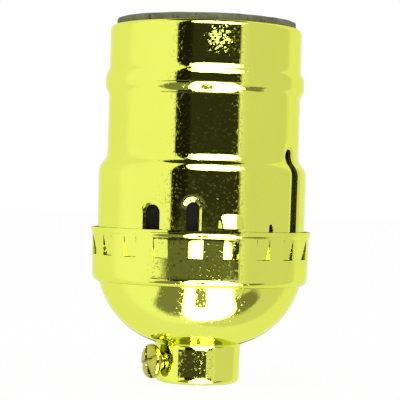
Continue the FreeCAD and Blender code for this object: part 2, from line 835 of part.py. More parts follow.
def make_terminal_plate(label, side, tab, hole, hole_radius):
    """Bent brass plate: a leg behind the terminal screw and a tab in under the upper insulator."""
    body = new_body(label)
    tab_end, tab_low, tab_high = tab
    leg_back = "recess_reach" if side > 0 else "0 - recess_reach"
    tip = "recess_reach + plate_sheet" if side > 0 else "0 - recess_reach - plate_sheet"
    leg = new_sketch(body, "leg_sketch", plane="YZ_Plane", lift=leg_back)
    draw_rectangle(leg, "0 - plate_half", "plate_half", "plate_bottom", "block_top")
    pad(body, "leg", leg, "plate_sheet", reverse=side < 0)
    flat = new_sketch(body, "tab_sketch", plane="XY_Plane", lift="block_top - plate_sheet")
    draw_rectangle(flat, *((tab_end, tip) if side > 0 else (tip, f"0 - {tab_end}")), tab_low, tab_high)
    pad(body, "tab", flat, "plate_sheet")
    tapping = new_sketch(body, "tapped_hole_sketch", plane="YZ_Plane", lift=leg_back)
    draw_circle(tapping, "0", "terminal_height", "terminal_radius + terminal_play")
    pocket(body, "tapped_hole", tapping, "plate_sheet + plate_sheet + 1", midplane=True)
    rivet = new_sketch(body, "rivet_hole_sketch", plane="XY_Plane", lift="block_top")
    draw_circle(rivet, hole[0], hole[1], hole_radius)
    pocket(body, "rivet_hole", rivet, "plate_sheet + 0.2")
    return body


def make_rivet(label, radius, head_radius, head, low, high, place):
    """A round-headed rivet from its lower head's underside seat to its upper head's seat."""
    body = new_body(label)
    dome = str((number(head_radius) ** 2 + number(head) ** 2) / (2 * number(head)))
    revolve(
        body,
        "rivet",
        [
            ("0", f"{low} - {head}"),
            (head_radius, low, dome, 1),
            (radius, low),
            (radius, high),
            (head_radius, high),
            ("0", f"{high} + {head}", dome, 1),
        ],
    )
    body.Placement = Placement(place, Rotation())
    return body


def make_centre_contact():
    """Bronze strip riveted in the well; its tongue rises to a curled tip under the lamp's contact."""
    body = new_body("centre_contact")
    side = new_sketch(body, "side_profile")
    inside = "contact_curl - contact_sheet"
    draw_outline(
        side,
        [
            ("contact_root", "insulator_floor"),
            ("contact_root", "insulator_floor + contact_sheet"),
            ("contact_bend + 0.3", "insulator_floor + contact_sheet"),
            ("contact_curl - contact_curl_reach", "contact_curl_height"),
            ("0 - contact_curl_reach", "contact_curl_height + contact_curl", "contact_curl", 1),
            ("0 - contact_curl_reach - contact_curl", "contact_curl_height", "contact_curl", 1),
            ("0 - contact_curl_reach - contact_curl", "contact_end_height"),
            (f"0 - contact_curl_reach - {inside.replace(' - ', ' + ')}", "contact_end_height"),
            (f"0 - contact_curl_reach - {inside.replace(' - ', ' + ')}", "contact_curl_height"),
            ("0 - contact_curl_reach", f"contact_curl_height + {inside}", inside, -1),
            (f"{inside} - contact_curl_reach", "contact_curl_height", inside, -1),
            ("contact_bend", "insulator_floor"),
        ],
    )
    pad(body, "strip", side, "contact_half + contact_half", midplane=True)
    rivet = new_sketch(body, "rivet_hole_sketch", plane="XY_Plane", lift="insulator_floor")
    draw_circle(rivet, "contact_rivet_reach", "0", "contact_rivet_radius + plate_play")
    pocket(body, "rivet_hole", rivet, "contact_sheet + 0.2", reverse=True)
    return body


# ---- the whole holder ---------------------------------------------------------------------


def make_all():
    neutral = rivet_place(RIVET_TURNS[2])
    parts = [
        make_cap(),
        make_threaded_bushing(),
        make_screw("set_screw", "set_screw", sheet.set_screw_turn, crossed=True),
        make_cap_liner(),
        make_outer_shell(),
        make_shell_liner(),
        make_terminal_block(),
        make_upper_insulator(),
        make_screw_shell(),
        make_terminal_plate(
            "line_terminal_plate",
            1,
            ("line_tab_end", "0 - line_tab_half", "line_tab_half"),
            ("contact_rivet_reach", "0"),
            "contact_rivet_radius + plate_play",
        ),
        make_terminal_plate(
            "neutral_terminal_plate",
            -1,
            ("neutral_tab_end", "0 - line_tab_half", "neutral_tab_side"),
            (str(neutral.x), str(neutral.y)),
            "rivet_radius + plate_play",
        ),
        make_screw("line_terminal_screw", "terminal", 90.0, crossed=False),
        make_screw("neutral_terminal_screw", "terminal", -90.0, crossed=False),
        make_centre_contact(),
        make_rivet(
            "contact_rivet",
            "contact_rivet_radius",
            "contact_rivet_head_radius",
            "contact_rivet_head",
            "block_top - plate_sheet",
            "insulator_floor + contact_sheet",
            Vector(sheet.contact_rivet_reach, 0, 0),
        ),
    ]
    for name, turn in zip(("front", "right", "left"), RIVET_TURNS):
        parts.append(
            make_rivet(
                f"body_rivet_{name}",
                "rivet_radius",
                "rivet_head_radius",
                "rivet_head",
                "block_cavity_top",
                "insulator_top + screw_sheet",
                rivet_place(turn),
            )
        )
    return parts


def check_all(parts):
    """Stops on any failed object, and on any part that isn't one sound solid."""
    doc.recompute()
    for thing in doc.Objects:
        if "Invalid" in thing.State or "Error" in thing.State:
            raise RuntimeError(f"{thing.Label} failed: {thing.State}")
    for body in parts:
        shape = body.Shape
        if shape.isNull() or not shape.isValid() or len(shape.Solids) != 1:
            raise RuntimeError(f"{body.Label} is not one valid solid")


def main():
    parts = make_all()
    check_all(parts)
    os.makedirs("parts", exist_ok=True)
    for body in parts:
        body.Shape.exportStep(f"parts/{body.Label}.step")
        box = body.Shape.BoundBox
        print(f"{body.Label}: {body.Shape.Volume:.1f} mm3, z {box.ZMin:.2f} to {box.ZMax:.2f}")


main()
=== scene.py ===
"""Looks for a keyless lamp holder: a polished brass shell and tabbed cap round a lined interior.

The frame's origin is the centre of the neck's lower rim, +Z is the holder's axis, and -Y is its
front. Lengths named in capitals are millimetres, azimuths are degrees from the front turning
towards +X, and a section's corners are (reach from the axis, height).
"""

import json
import math

import bpy
from mathutils import Matrix, Vector, noise


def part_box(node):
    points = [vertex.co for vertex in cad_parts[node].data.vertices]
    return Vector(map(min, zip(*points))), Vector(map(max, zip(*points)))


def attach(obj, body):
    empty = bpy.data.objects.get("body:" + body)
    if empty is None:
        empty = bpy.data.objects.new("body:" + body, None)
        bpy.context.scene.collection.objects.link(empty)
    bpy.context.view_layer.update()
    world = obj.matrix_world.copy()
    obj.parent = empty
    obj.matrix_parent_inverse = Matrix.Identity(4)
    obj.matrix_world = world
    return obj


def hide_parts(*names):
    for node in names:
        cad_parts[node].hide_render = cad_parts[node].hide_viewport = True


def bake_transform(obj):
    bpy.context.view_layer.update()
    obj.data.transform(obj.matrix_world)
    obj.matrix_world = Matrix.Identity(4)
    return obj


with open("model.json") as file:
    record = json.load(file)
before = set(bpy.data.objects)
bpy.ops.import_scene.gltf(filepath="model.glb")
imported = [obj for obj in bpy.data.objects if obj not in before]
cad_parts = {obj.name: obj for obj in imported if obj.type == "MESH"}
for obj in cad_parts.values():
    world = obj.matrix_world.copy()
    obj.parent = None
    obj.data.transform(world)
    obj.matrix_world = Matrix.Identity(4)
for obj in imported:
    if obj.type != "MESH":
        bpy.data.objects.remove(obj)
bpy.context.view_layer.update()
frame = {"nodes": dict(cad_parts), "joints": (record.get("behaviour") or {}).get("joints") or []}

MM = 0.001

# the driving sizes of the sheet metal
SHELL_SHEET = 0.45
SHELL_FOOT_RADIUS = 17.25
SHELL_WIDE_RADIUS = 17.4
SHELL_NECK_RADIUS = 16.03
BEAD_RADIUS = 16.65
CAP_SHEET = 0.5
NECK_RADIUS = 7.15
CROWN_RADIUS = 18.2
SLEEVE_WALL = 0.8
SCREW_SHELL_SHEET = 0.3
CONTACT_SHEET = 0.4

# how much the cap's neck and crown narrow towards their feet, as a drawn cup does
NECK_DRAFT = 0.1
CROWN_DRAFT = 0.15

# the slots in the shell's foot: azimuth, half width, and how far the top stands over the foot. The
# short slot, the catch slot and the slit come in pairs, front and back, and the tall slot alone.
PAIRED_SLOTS = ((-27.0, 1.25, 12.4), (-4.6, 1.0, 13.0), (41.0, 0.35, 9.7))
TALL_SLOT = (62.0, 1.1, 22.0)
FRONT_AND_BACK = (0, 180)

# the lanced lugs that lock the shell on the cap
LUG_AZIMUTH = 16.0
LUG_SWEEP = 15.0
LUG_REACH = 18.1

# the lanced tabs round the cap's crown
TAB_AZIMUTH = -2.4
TAB_COUNT = 20
TAB_WIDTH = 2.35
TAB_GAP = 0.09
TAB_PUSH = 0.38

# threads
LAMP_PITCH = 3.63
PIPE_PITCH = 0.94
PIPE_BORE_RADIUS = 4.6

# headed screws: where the shank, the head and its face stand on the screw's axis, and their radii
NECK_SCREW = {
    "shank": 1.5,
    "tip": 5.1,
    "head_start": 8.2,
    "head": 2.85,
    "face": 9.7,
    "edge": 0.55,
    "dome": 0.35,
    "pitch": 0.8,
}
TERMINAL_SCREW = {
    "shank": 1.7,
    "tip": 7.4,
    "head_start": 12.9,
    "head": 3.4,
    "face": 14.7,
    "edge": 0.45,
    "dome": 0.2,
    "pitch": 0.9,
}

# strengths of the studio's light: on matt surfaces, and of the softboxes that the metal mirrors
PLAIN_LIGHT = 0.75
SOFTBOX_LIGHT = 10.0


# ---- modelling by hand ---------------------------------------------------------------------


def leave_edit_mode():
    if bpy.context.object and bpy.context.object.mode != "OBJECT":
        bpy.ops.object.mode_set(mode="OBJECT")


def only(piece):
    """Selects one piece and nothing else, and makes it the active one."""
    leave_edit_mode()
    bpy.ops.object.select_all(action="DESELECT")
    piece.select_set(True)
    bpy.context.view_layer.objects.active = piece


class Section:
    """Half a cross section, drawn point by point from its start and then spun round the axis."""

    def __init__(self, name, reach, height):
        leave_edit_mode()
        bpy.ops.object.select_all(action="DESELECT")
        bpy.ops.mesh.primitive_plane_add(size=MM, location=(reach * MM, 0, height * MM))
        self.piece = bpy.context.object
        self.piece.name = self.piece.data.name = name
        bpy.ops.object.transform_apply()
        bpy.ops.object.mode_set(mode="EDIT")
        bpy.ops.mesh.select_mode(type="VERT")
        bpy.ops.mesh.select_all(action="SELECT")
        bpy.ops.mesh.merge(type="CENTER")
        self.end = Vector((reach, height))

    def line(self, reach, height, steps=1):
        """Runs straight on to a corner, in equal steps."""
        step = (Vector((reach, height)) - self.end) / steps * MM
        for _ in range(steps):
            move = {"value": (step.x, 0, step.y)}
            bpy.ops.mesh.extrude_vertices_move(TRANSFORM_OT_translate=move)
        self.end = Vector((reach, height))

    def arc(self, reach, height, radius, side, steps=8):
        """Runs to a corner on an arc that bulges to the right (1) or left (-1) of its way."""
        stop = Vector((reach, height))
        chord = stop - self.end
        rise = math.sqrt(max(radius**2 - chord.length_squared / 4, 0))
        right = Vector((chord.y, -chord.x)).normalized()
        centre = (self.end + stop) / 2 - right * rise * side
        angle = 2 * math.asin(min(chord.length / 2 / radius, 1))
        bpy.ops.mesh.spin(
            steps=steps,
            angle=angle,
            center=(centre.x * MM, 0, centre.y * MM),
            axis=(0, side, 0),
        )
        self.end = stop

    def close(self):
        """Joins the last corner to the first."""
        bpy.ops.mesh.select_all(action="SELECT")
        bpy.ops.mesh.remove_doubles(threshold=0.0005 * MM)

    def spin(self, steps, angle=360.0, start=90.0):
        """Spins the section round the axis, and gives the finished surface or solid."""
        bpy.ops.mesh.select_all(action="SELECT")
        turn_selected(start)
        sweep(steps, angle)
        tidy_surface()
        leave_edit_mode()
        face_outwards(self.piece)
        return self.piece


def turn_selected(azimuth):
    """Turns what is selected in edit mode about the axis, from +X to an azimuth."""
    angle = math.radians(azimuth - 90)
    if angle:
        bpy.ops.transform.rotate(value=-angle, orient_axis="Z", center_override=(0, 0, 0))


def sweep(steps, angle, **settings):
    """Spins what is selected in edit mode round the axis, by some degrees of azimuth."""
    bpy.ops.mesh.spin(
        steps=steps, angle=math.radians(angle), center=(0, 0, 0), axis=(0, 0, -1), **settings
    )


def tidy_surface():
    bpy.ops.mesh.select_all(action="SELECT")
    bpy.ops.mesh.remove_doubles(threshold=0.001 * MM)
    bpy.ops.mesh.normals_make_consistent(inside=False)


def face_outwards(piece):
    """Turns an open surface's faces round if its widest face looks inwards."""
    widest = max(piece.data.polygons, key=lambda face: face.center.xy.length)
    if widest.normal.xy.dot(widest.center.xy) < 0:
        piece.data.flip_normals()


def apply_modifier(piece, kind, **settings):
    modifier = piece.modifiers.new(kind.lower(), kind)
    for name, value in settings.items():
        setattr(modifier, name, value)
    only(piece)
    bpy.ops.object.modifier_apply(modifier=modifier.name)


def thicken(piece, sheet):
    """Gives a drawn surface its sheet, inwards, with the rims closed."""
    apply_modifier(
        piece,
        "SOLIDIFY",
        thickness=sheet * MM,
        offset=-1,
        use_even_offset=True,
        use_quality_normals=True,
    )


def round_rims(piece, width, angle=50.0):
    apply_modifier(
        piece,
        "BEVEL",
        width=width * MM,
        segments=2,
        limit_method="ANGLE",
        angle_limit=math.radians(angle),
    )


def cut_away(piece, cutter):
    apply_modifier(piece, "BOOLEAN", operation="DIFFERENCE", solver="EXACT", object=cutter)
    bpy.data.objects.remove(cutter)


def smooth(piece, angle=35.0):
    only(piece)
    bpy.ops.object.shade_smooth_by_angle(angle=math.radians(angle))


def outward(azimuth):
    """The level direction that an azimuth points in."""
    angle = math.radians(azimuth)
    return Vector((math.sin(angle), -math.cos(angle), 0))


def azimuth_of(place):
    return math.degrees(math.atan2(place.x, -place.y))


def turn_to_azimuth(piece, azimuth):
    """Turns a piece's mesh about the axis, from the front to an azimuth."""
    piece.data.transform(Matrix.Rotation(math.radians(azimuth), 4, "Z"))


def slot_cutter(azimuth, half_width, low, top):
    """A bar with a round top, standing across one side of the shell."""
    height = top - low
    bpy.ops.object.select_all(action="DESELECT")
    bpy.ops.mesh.primitive_cube_add(
        size=1,
        location=(0, -SHELL_WIDE_RADIUS * MM, (low + height / 2) * MM),
        scale=(2 * half_width * MM, 8 * MM, height * MM),
    )
    cutter = bpy.context.object
    bpy.ops.object.transform_apply()
    bpy.ops.object.mode_set(mode="EDIT")
    bpy.ops.mesh.select_mode(type="EDGE")
    bpy.ops.mesh.select_all(action="DESELECT")
    bpy.ops.object.mode_set(mode="OBJECT")
    for edge in cutter.data.edges:
        ends = [cutter.data.vertices[index].co for index in edge.vertices]
        along = abs(ends[0].y - ends[1].y) > 4 * MM
        edge.select = along and min(end.z for end in ends) > (top - 0.01) * MM
    bpy.ops.object.mode_set(mode="EDIT")
    bpy.ops.mesh.bevel(offset=half_width * 0.995 * MM, segments=8, affect="EDGES")
    bpy.ops.object.mode_set(mode="OBJECT")
    turn_to_azimuth(cutter, azimuth)
    return cutter


def wind_thread(piece, pitch, depth, low, high, inside_of=None, outside_of=0.0):
    """Moves a round wall's points out or in on a helix between two heights, and eases its ends."""
    run_in = 0.6 * pitch
    for vertex in piece.data.vertices:
        place = vertex.co / MM
        reach = place.xy.length
        if not low < place.z < high or reach < outside_of or (inside_of and reach > inside_of):
            continue
        turn = math.atan2(place.y, place.x) / math.tau
        wave = 0.5 - 0.5 * math.cos(math.tau * (place.z / pitch - turn))
        ease = min(1.0, (place.z - low) / run_in, (high - place.z) / run_in)
        factor = 1 + depth * wave * ease / reach
        vertex.co.x *= factor
        vertex.co.y *= factor


def place_on_joint(piece, joint_name):
    """Lays a piece, modelled along +Z from the holder's axis, on a joint's axis."""
    joint = next(joint for joint in frame["joints"] if joint["name"] == joint_name)
    axis = Vector(joint["axis"])
    turn = Matrix.Rotation(math.radians(azimuth_of(axis)), 4, "Z")
    level = turn @ Matrix.Rotation(math.pi / 2, 4, "X")
    piece.data.transform(Matrix.Translation((0, 0, joint["pos_m"][2])) @ level)


# ---- brass shell ---------------------------------------------------------------------------


def lug_block(azimuth, sweep_angle, low, high, inset=0.0):
    """A ramp bent round the shell: it leaves the sheet at its top and stands proud at its foot."""
    bpy.ops.object.select_all(action="DESELECT")
    bpy.ops.mesh.primitive_cube_add(size=1)
    block = bpy.context.object
    bpy.ops.object.mode_set(mode="EDIT")
    bpy.ops.mesh.subdivide(number_cuts=15)
    bpy.ops.object.mode_set(mode="OBJECT")
    base = SHELL_FOOT_RADIUS - 0.15
    for vertex in block.data.vertices:
        across, inner, share = 2 * vertex.co.x, 0.5 + vertex.co.y, 0.5 + vertex.co.z
        proud = (LUG_REACH - base) * (1 - share) * (1 - across**4)
        outer = base + proud - inset
        reach = outer + (base - 1 - outer) * inner
        place = outward(azimuth + across * sweep_angle / 2) * reach
        vertex.co = Vector((place.x, place.y, low + (high - low) * share)) * MM
    face_outwards(block)
    return block


def raise_lug(shell, azimuth, low, high):
    """Lances a lug out of the sheet, hollow behind and open under its sheared lower edge."""
    lug = lug_block(azimuth, LUG_SWEEP, low, high)
    apply_modifier(shell, "BOOLEAN", operation="UNION", solver="EXACT", object=lug)
    bpy.data.objects.remove(lug)
    cut_away(shell, lug_block(azimuth, LUG_SWEEP - 2, low - 0.02, high, SHELL_SHEET))


def dish_slot(shell, azimuth, half_width, top):
    """Draws the sheet in a little along a slot's edge, as its punch leaves it."""
    reach, dish = 0.9, 0.3
    for vertex in shell.data.vertices:
        place = vertex.co / MM
        angle = (azimuth_of(place) - azimuth + 180) % 360 - 180
        across = abs(math.radians(angle)) * place.xy.length
        above = max(0.0, place.z - (top - half_width))
        distance = math.hypot(across, above) - half_width
        if distance < reach:
            depth = dish * (1 - max(distance, 0.0) / reach) ** 2
            vertex.co.xy -= place.xy.normalized() * depth * MM


def make_drawn_shell():
    """Sprung, slotted foot, waist, bead and rolled mouth, drawn from one sheet."""
    low, high = (corner.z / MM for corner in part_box("outer_shell"))
    waist_low, waist_high = low + 17.5, low + 21.1
    bead_low, crest_low, crest_high, bead_high = low + 30.2, low + 32.3, low + 33.2, low + 35.4
    waist_middle = (SHELL_WIDE_RADIUS + SHELL_NECK_RADIUS) / 2
    flank = (SHELL_NECK_RADIUS + BEAD_RADIUS) / 2
    waist_arc, lower_bead_arc, upper_bead_arc, mouth_arc = 2.706, 1.93, 2.11, 0.9
    section = Section("drawn_shell", SHELL_FOOT_RADIUS, low)
    section.line(SHELL_WIDE_RADIUS, waist_low, 50)
    section.arc(waist_middle, (waist_low + waist_high) / 2, waist_arc, 1, 12)
    section.arc(SHELL_NECK_RADIUS, waist_high, waist_arc, -1, 12)
    section.line(SHELL_NECK_RADIUS, bead_low, 10)
    section.arc(flank, (bead_low + crest_low) / 2, lower_bead_arc, -1, 7)
    section.arc(BEAD_RADIUS, crest_low, lower_bead_arc, 1, 7)
    section.line(BEAD_RADIUS, crest_high, 2)
    section.arc(flank, (crest_high + bead_high) / 2, upper_bead_arc, 1, 7)
    section.arc(SHELL_NECK_RADIUS, bead_high, upper_bead_arc, -1, 7)
    section.line(SHELL_NECK_RADIUS, high - mouth_arc, 6)
    section.arc(SHELL_NECK_RADIUS - mouth_arc, high, mouth_arc, 1, 8)
    shell = section.spin(300)
    slots = [TALL_SLOT]
    for side in FRONT_AND_BACK:
        slots += [(azimuth + side, half_width, rise) for azimuth, half_width, rise in PAIRED_SLOTS]
    for azimuth, half_width, rise in slots:
        dish_slot(shell, azimuth, half_width, low + rise)
    thicken(shell, SHELL_SHEET)
    round_rims(shell, 0.1)
    for azimuth, half_width, rise in slots:
        cut_away(shell, slot_cutter(azimuth, half_width, low - 2, low + rise))
    for side in FRONT_AND_BACK:
        raise_lug(shell, LUG_AZIMUTH + side, low + 8.9, low + 11.9)
    smooth(shell)
    return shell


# ---- brass cap -----------------------------------------------------------------------------


def tab_offset(place):
    """How far a point lies sideways from the first tab's middle, along the crown."""
    angle = math.radians(azimuth_of(place) - TAB_AZIMUTH)
    angle = (angle + math.pi) % math.tau - math.pi
    return angle * CROWN_RADIUS


def make_tabbed_cap():
    """Neck, flange, dome and crown drawn from one sheet, with lanced tabs round the crown."""
    low, high = (corner.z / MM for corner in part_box("cap"))
    shoulder = low + 16.6
    tab_low, tab_high = low + 21.2, low + 24.4
    dome_centre, dome_arc = Vector((3.03, low + 20.26)), 14.3
    dome_top = dome_centre.x + math.sqrt(dome_arc**2 - (dome_centre.y - shoulder) ** 2)
    section = Section("tabbed_cap", 5.9, low)
    section.line(NECK_RADIUS - NECK_DRAFT - 1, low)
    section.arc(NECK_RADIUS - NECK_DRAFT, low + 1, 1.0, 1, 7)
    section.line(NECK_RADIUS, low + 6.2, 8)
    section.arc(NECK_RADIUS + 0.5, low + 6.7, 0.5, -1, 4)
    section.line(9.3, low + 7.4, 2)
    section.arc(dome_top, shoulder, dome_arc, 1, 24)
    crown_foot = CROWN_RADIUS - CROWN_DRAFT
    tab_foot = CROWN_RADIUS - CROWN_DRAFT / 2
    section.line(crown_foot - 1.15, shoulder, 2)
    section.arc(crown_foot, shoulder + 1.3, 1.25, 1, 8)
    section.line(tab_foot, tab_low - TAB_GAP, 4)
    section.line(tab_foot, tab_low, 1)
    section.line(CROWN_RADIUS, tab_high - 0.5, 4)
    section.line(CROWN_RADIUS, tab_high, 1)
    section.line(CROWN_RADIUS, tab_high + 0.1, 1)
    section.line(CROWN_RADIUS + 0.2, low + 25.0, 3)
    section.line(CROWN_RADIUS + 0.2, high, 2)
    return spin_in_sectors(section, tab_low, tab_high)


def screw_hole_cutter():
    """A round bar through the neck's wall, where the set screw enters."""
    low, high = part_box("set_screw")
    hole_radius, length = 1.62, 6
    bpy.ops.object.select_all(action="DESELECT")
    bpy.ops.mesh.primitive_cylinder_add(
        vertices=40, radius=hole_radius * MM, depth=length * MM, location=(0, 0, NECK_RADIUS * MM)
    )
    cutter = bpy.context.object
    bpy.ops.object.transform_apply()
    cutter.data.transform(Matrix.Rotation(math.pi / 2, 4, "X"))
    cutter.data.transform(Matrix.Translation((0, 0, (low.z + high.z) / 2)))
    turn_to_azimuth(cutter, azimuth_of((low + high) / 2))
    return cutter


def spin_in_sectors(section, tab_low, tab_high):
    """Spins one tab's sector with columns on the tab's edges, lances it and repeats it round."""
    pitch = 360 / TAB_COUNT
    tab_angle = math.degrees(TAB_WIDTH / CROWN_RADIUS)
    gap_angle = math.degrees(TAB_GAP / CROWN_RADIUS)
    cap = section.piece
    bpy.ops.mesh.select_all(action="SELECT")
    turn_selected(TAB_AZIMUTH - tab_angle / 2 - gap_angle)
    rest = pitch - tab_angle - 2 * gap_angle
    for steps, angle in ((1, gap_angle), (7, tab_angle), (1, gap_angle), (8, rest)):
        sweep(steps, angle)
    tidy_surface()
    leave_edit_mode()
    face_outwards(cap)
    lance_sector(cap, tab_low, tab_high)
    only(cap)
    bpy.ops.object.mode_set(mode="EDIT")
    bpy.ops.mesh.select_all(action="SELECT")
    sweep(TAB_COUNT, 360, dupli=True, use_auto_merge=False)
    bpy.ops.mesh.select_all(action="SELECT")
    bpy.ops.mesh.remove_doubles(threshold=0.002 * MM)
    leave_edit_mode()
    thicken(cap, CAP_SHEET)
    cut_away(cap, screw_hole_cutter())
    smooth(cap, 40)
    return cap


def lance_sector(cap, tab_low, tab_high):
    """Frees the tab on three sides, and leans its lower edge inwards."""
    half = TAB_WIDTH / 2
    only(cap)
    bpy.ops.object.mode_set(mode="EDIT")
    bpy.ops.mesh.select_mode(type="FACE")
    bpy.ops.mesh.select_all(action="DESELECT")
    bpy.ops.object.mode_set(mode="OBJECT")
    for face in cap.data.polygons:
        middle = face.center / MM
        across = abs(tab_offset(middle))
        in_window = tab_low - TAB_GAP < middle.z < tab_high and across < half + TAB_GAP
        face.select = in_window and (across > half or middle.z < tab_low)
    bpy.ops.object.mode_set(mode="EDIT")
    bpy.ops.mesh.delete(type="FACE")
    bpy.ops.object.mode_set(mode="OBJECT")
    for vertex in cap.data.vertices:
        place = vertex.co / MM
        on_tab = abs(tab_offset(place)) < half + TAB_GAP / 2 and place.xy.length > CROWN_RADIUS - 1
        if on_tab and tab_low - TAB_GAP / 2 < place.z < tab_high:
            share = (tab_high - place.z) / (tab_high - tab_low)
            vertex.co.xy -= place.xy.normalized() * TAB_PUSH * share * MM


# ---- fibre sleeve and metal inside ---------------------------------------------------------


def make_fibre_sleeve():
    """Rolled sleeve with a butt seam, following the shell inside and standing out of its mouth."""
    low, high = (corner.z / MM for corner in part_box("shell_liner"))
    seam_azimuth, seam_angle = -38.0, 1.15
    wide, narrow, waist_arc = 16.6, 15.0, 3.4
    section = Section("fibre_sleeve", wide, low)
    section.line(wide, low + 16.0, 8)
    section.arc(15.8, low + 18.2, waist_arc, 1, 6)
    section.arc(narrow, low + 20.4, waist_arc, -1, 6)
    section.line(narrow, high, 20)
    sleeve = section.spin(192, 360 - seam_angle, seam_azimuth + seam_angle / 2)
    for vertex in sleeve.data.vertices:
        place = vertex.co / MM
        ragged = noise.noise(Vector((place.x, place.y, 0)) * 0.5)
        share = max(0.0, (place.z - high + 6) / 6)
        vertex.co.z -= (0.06 + 0.06 * ragged) * share * MM
    thicken(sleeve, SLEEVE_WALL)
    round_rims(sleeve, 0.12)
    smooth(sleeve)
    return sleeve


def make_screw_shell():
    """Aluminium shell with its knuckle thread rolled in, a foot flange and a plain mouth."""
    low, high = (corner.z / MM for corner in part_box("screw_shell"))
    root = 12.7
    section = Section("rolled_screw_shell", 7.3, low + SCREW_SHELL_SHEET)
    section.line(11.9, low + SCREW_SHELL_SHEET, 4)
    section.arc(root, low + 1.1, 0.8, 1, 5)
    section.line(root, low + 16.3, 76)
    section.arc(13.0, low + 16.6, 0.3, -1, 3)
    section.line(13.3, low + 16.6, 1)
    section.arc(13.65, low + 16.95, 0.35, 1, 3)
    section.line(13.65, high, 4)
    shell = section.spin(120)
    wind_thread(shell, LAMP_PITCH, 0.9, low + 1.6, low + 16.2, outside_of=12.0)
    thicken(shell, SCREW_SHELL_SHEET)
    round_rims(shell, 0.06)
    smooth(shell, 45)
    return shell


def make_pipe_bushing():
    """Turned steel ring in the neck, with the pipe thread cut in its bore."""
    low, high = (corner.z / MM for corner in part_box("threaded_bushing"))
    section = Section("pipe_bushing", 5.0, low)
    section.line(6.0, low, 1)
    section.line(6.5, low + 0.5, 1)
    section.line(6.5, high - 1.1, 4)
    section.line(7.8, high - 1.1, 1)
    section.arc(8.0, high - 0.9, 0.2, 1, 3)
    section.line(8.0, high - 0.2, 1)
    section.arc(7.8, high, 0.2, 1, 3)
    section.line(5.0, high, 2)
    section.line(PIPE_BORE_RADIUS, high - 0.4, 1)
    section.line(PIPE_BORE_RADIUS, low + 0.4, 64)
    section.line(5.0, low, 1)
    section.close()
    ring = section.spin(96)
    wind_thread(ring, PIPE_PITCH, 0.4, low + 0.4, high - 0.4, inside_of=4.9)
    smooth(ring)
    return ring


def make_headed_screw(name, shank, tip, head_start, head, face, edge, dome, pitch):
    """A screw along +Z from its tip to its slightly domed head, with a thread cut on its shank."""
    turns = (head_start - tip) / pitch
    section = Section(name, 0, tip)
    section.line(shank - 0.3, tip, 1)
    section.line(shank, tip + 0.3, 1)
    section.line(shank, head_start - 0.2, int(turns * 9))
    section.arc(shank + 0.2, head_start, 0.2, -1, 2)
    section.line(head - 0.25, head_start, 2)
    section.arc(head, head_start + 0.25, 0.25, 1, 3)
    section.line(head, face - dome - edge, 1)
    section.arc(head - edge, face - dome, edge, 1, 5)
    section.arc(0, face, ((head - edge) ** 2 + dome**2) / (2 * dome), 1, 8)
    screw = section.spin(64)
    groove, thread_start, thread_end = -0.28, tip + 0.1, head_start - 0.2
    wind_thread(screw, pitch, groove, thread_start, thread_end, inside_of=shank + 0.1, outside_of=0.5)
    return screw


def slot_head(screw, half_width, depth, sizes, turns):
    """Cuts screwdriver slots across the head, one for each turn in degrees."""
    for turn in turns:
        bpy.ops.object.select_all(action="DESELECT")
        bpy.ops.mesh.primitive_cube_add(
            size=1,
            location=(0, 0, sizes["face"] * MM),
            rotation=(0, 0, math.radians(turn)),
            scale=(2.4 * sizes["head"] * MM, 2 * half_width * MM, 2 * depth * MM),
        )
        cutter = bpy.context.object
        bpy.ops.object.transform_apply()
        cut_away(screw, cutter)


def finish_screw(screw, joint_name):
    """Breaks the head's sharp edges and lays the screw on its joint."""
    round_rims(screw, 0.07, angle=45)
    smooth(screw)
    place_on_joint(screw, joint_name)
    return screw


def make_neck_set_screw():
    """Brass set screw with crossed slots."""
    screw = make_headed_screw("neck_set_screw", **NECK_SCREW)
    slot_head(screw, 0.42, 0.75, NECK_SCREW, (20.0, 110.0))
    return finish_screw(screw, "set_screw_turn")


def make_terminal_screw(name, joint_name):
    """Binding screw with one slot, which clamps a wire on its plate."""
    screw = make_headed_screw(name, **TERMINAL_SCREW)
    slot_head(screw, 0.5, 0.9, TERMINAL_SCREW, (0.0,))
    return finish_screw(screw, joint_name)


def make_sprung_contact():
    """Strip riveted at its root, whose tongue rises to a curled tip."""
    low, high = (corner.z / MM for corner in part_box("centre_contact"))
    half_width, curl, middle = 2.3, 1.7, -1.4
    section = Section("sprung_contact", 6.4, low + CONTACT_SHEET)
    section.line(2.9, low + CONTACT_SHEET, 6)
    section.arc(2.35, low + 0.8, 0.6, -1, 4)
    section.line(middle + curl, high - curl, 20)
    section.arc(middle, high, curl, 1, 10)
    section.arc(middle - curl, high - curl, curl, 1, 10)
    section.line(middle - curl, high - curl - 1.1, 3)
    bpy.ops.mesh.select_all(action="SELECT")
    bpy.ops.transform.translate(value=(0, -half_width * MM, 0))
    for _ in range(6):
        step = (0, half_width / 3 * MM, 0)
        bpy.ops.mesh.extrude_edges_move(TRANSFORM_OT_translate={"value": step})
    tidy_surface()
    leave_edit_mode()
    strip = section.piece
    crown = max(strip.data.polygons, key=lambda face: face.center.z)
    if crown.normal.z < 0:
        strip.data.flip_normals()
    thicken(strip, CONTACT_SHEET)
    bpy.ops.object.select_all(action="DESELECT")
    bpy.ops.mesh.primitive_cylinder_add(
        vertices=32, radius=1.1 * MM, depth=4 * MM, location=(5.0 * MM, 0, low * MM)
    )
    cutter = bpy.context.object
    bpy.ops.object.transform_apply()
    cut_away(strip, cutter)
    round_rims(strip, 0.06)
    smooth(strip)
    return strip


# ---- materials -----------------------------------------------------------------------------


def colour(code):
    """A hex sRGB colour as linear red, green, blue and alpha."""
    parts = [int(code[index : index + 2], 16) / 255 for index in (0, 2, 4)]
    linear = [
        part / 12.92 if part <= 0.04045 else ((part + 0.055) / 1.055) ** 2.4 for part in parts
    ]
    return (*linear, 1.0)


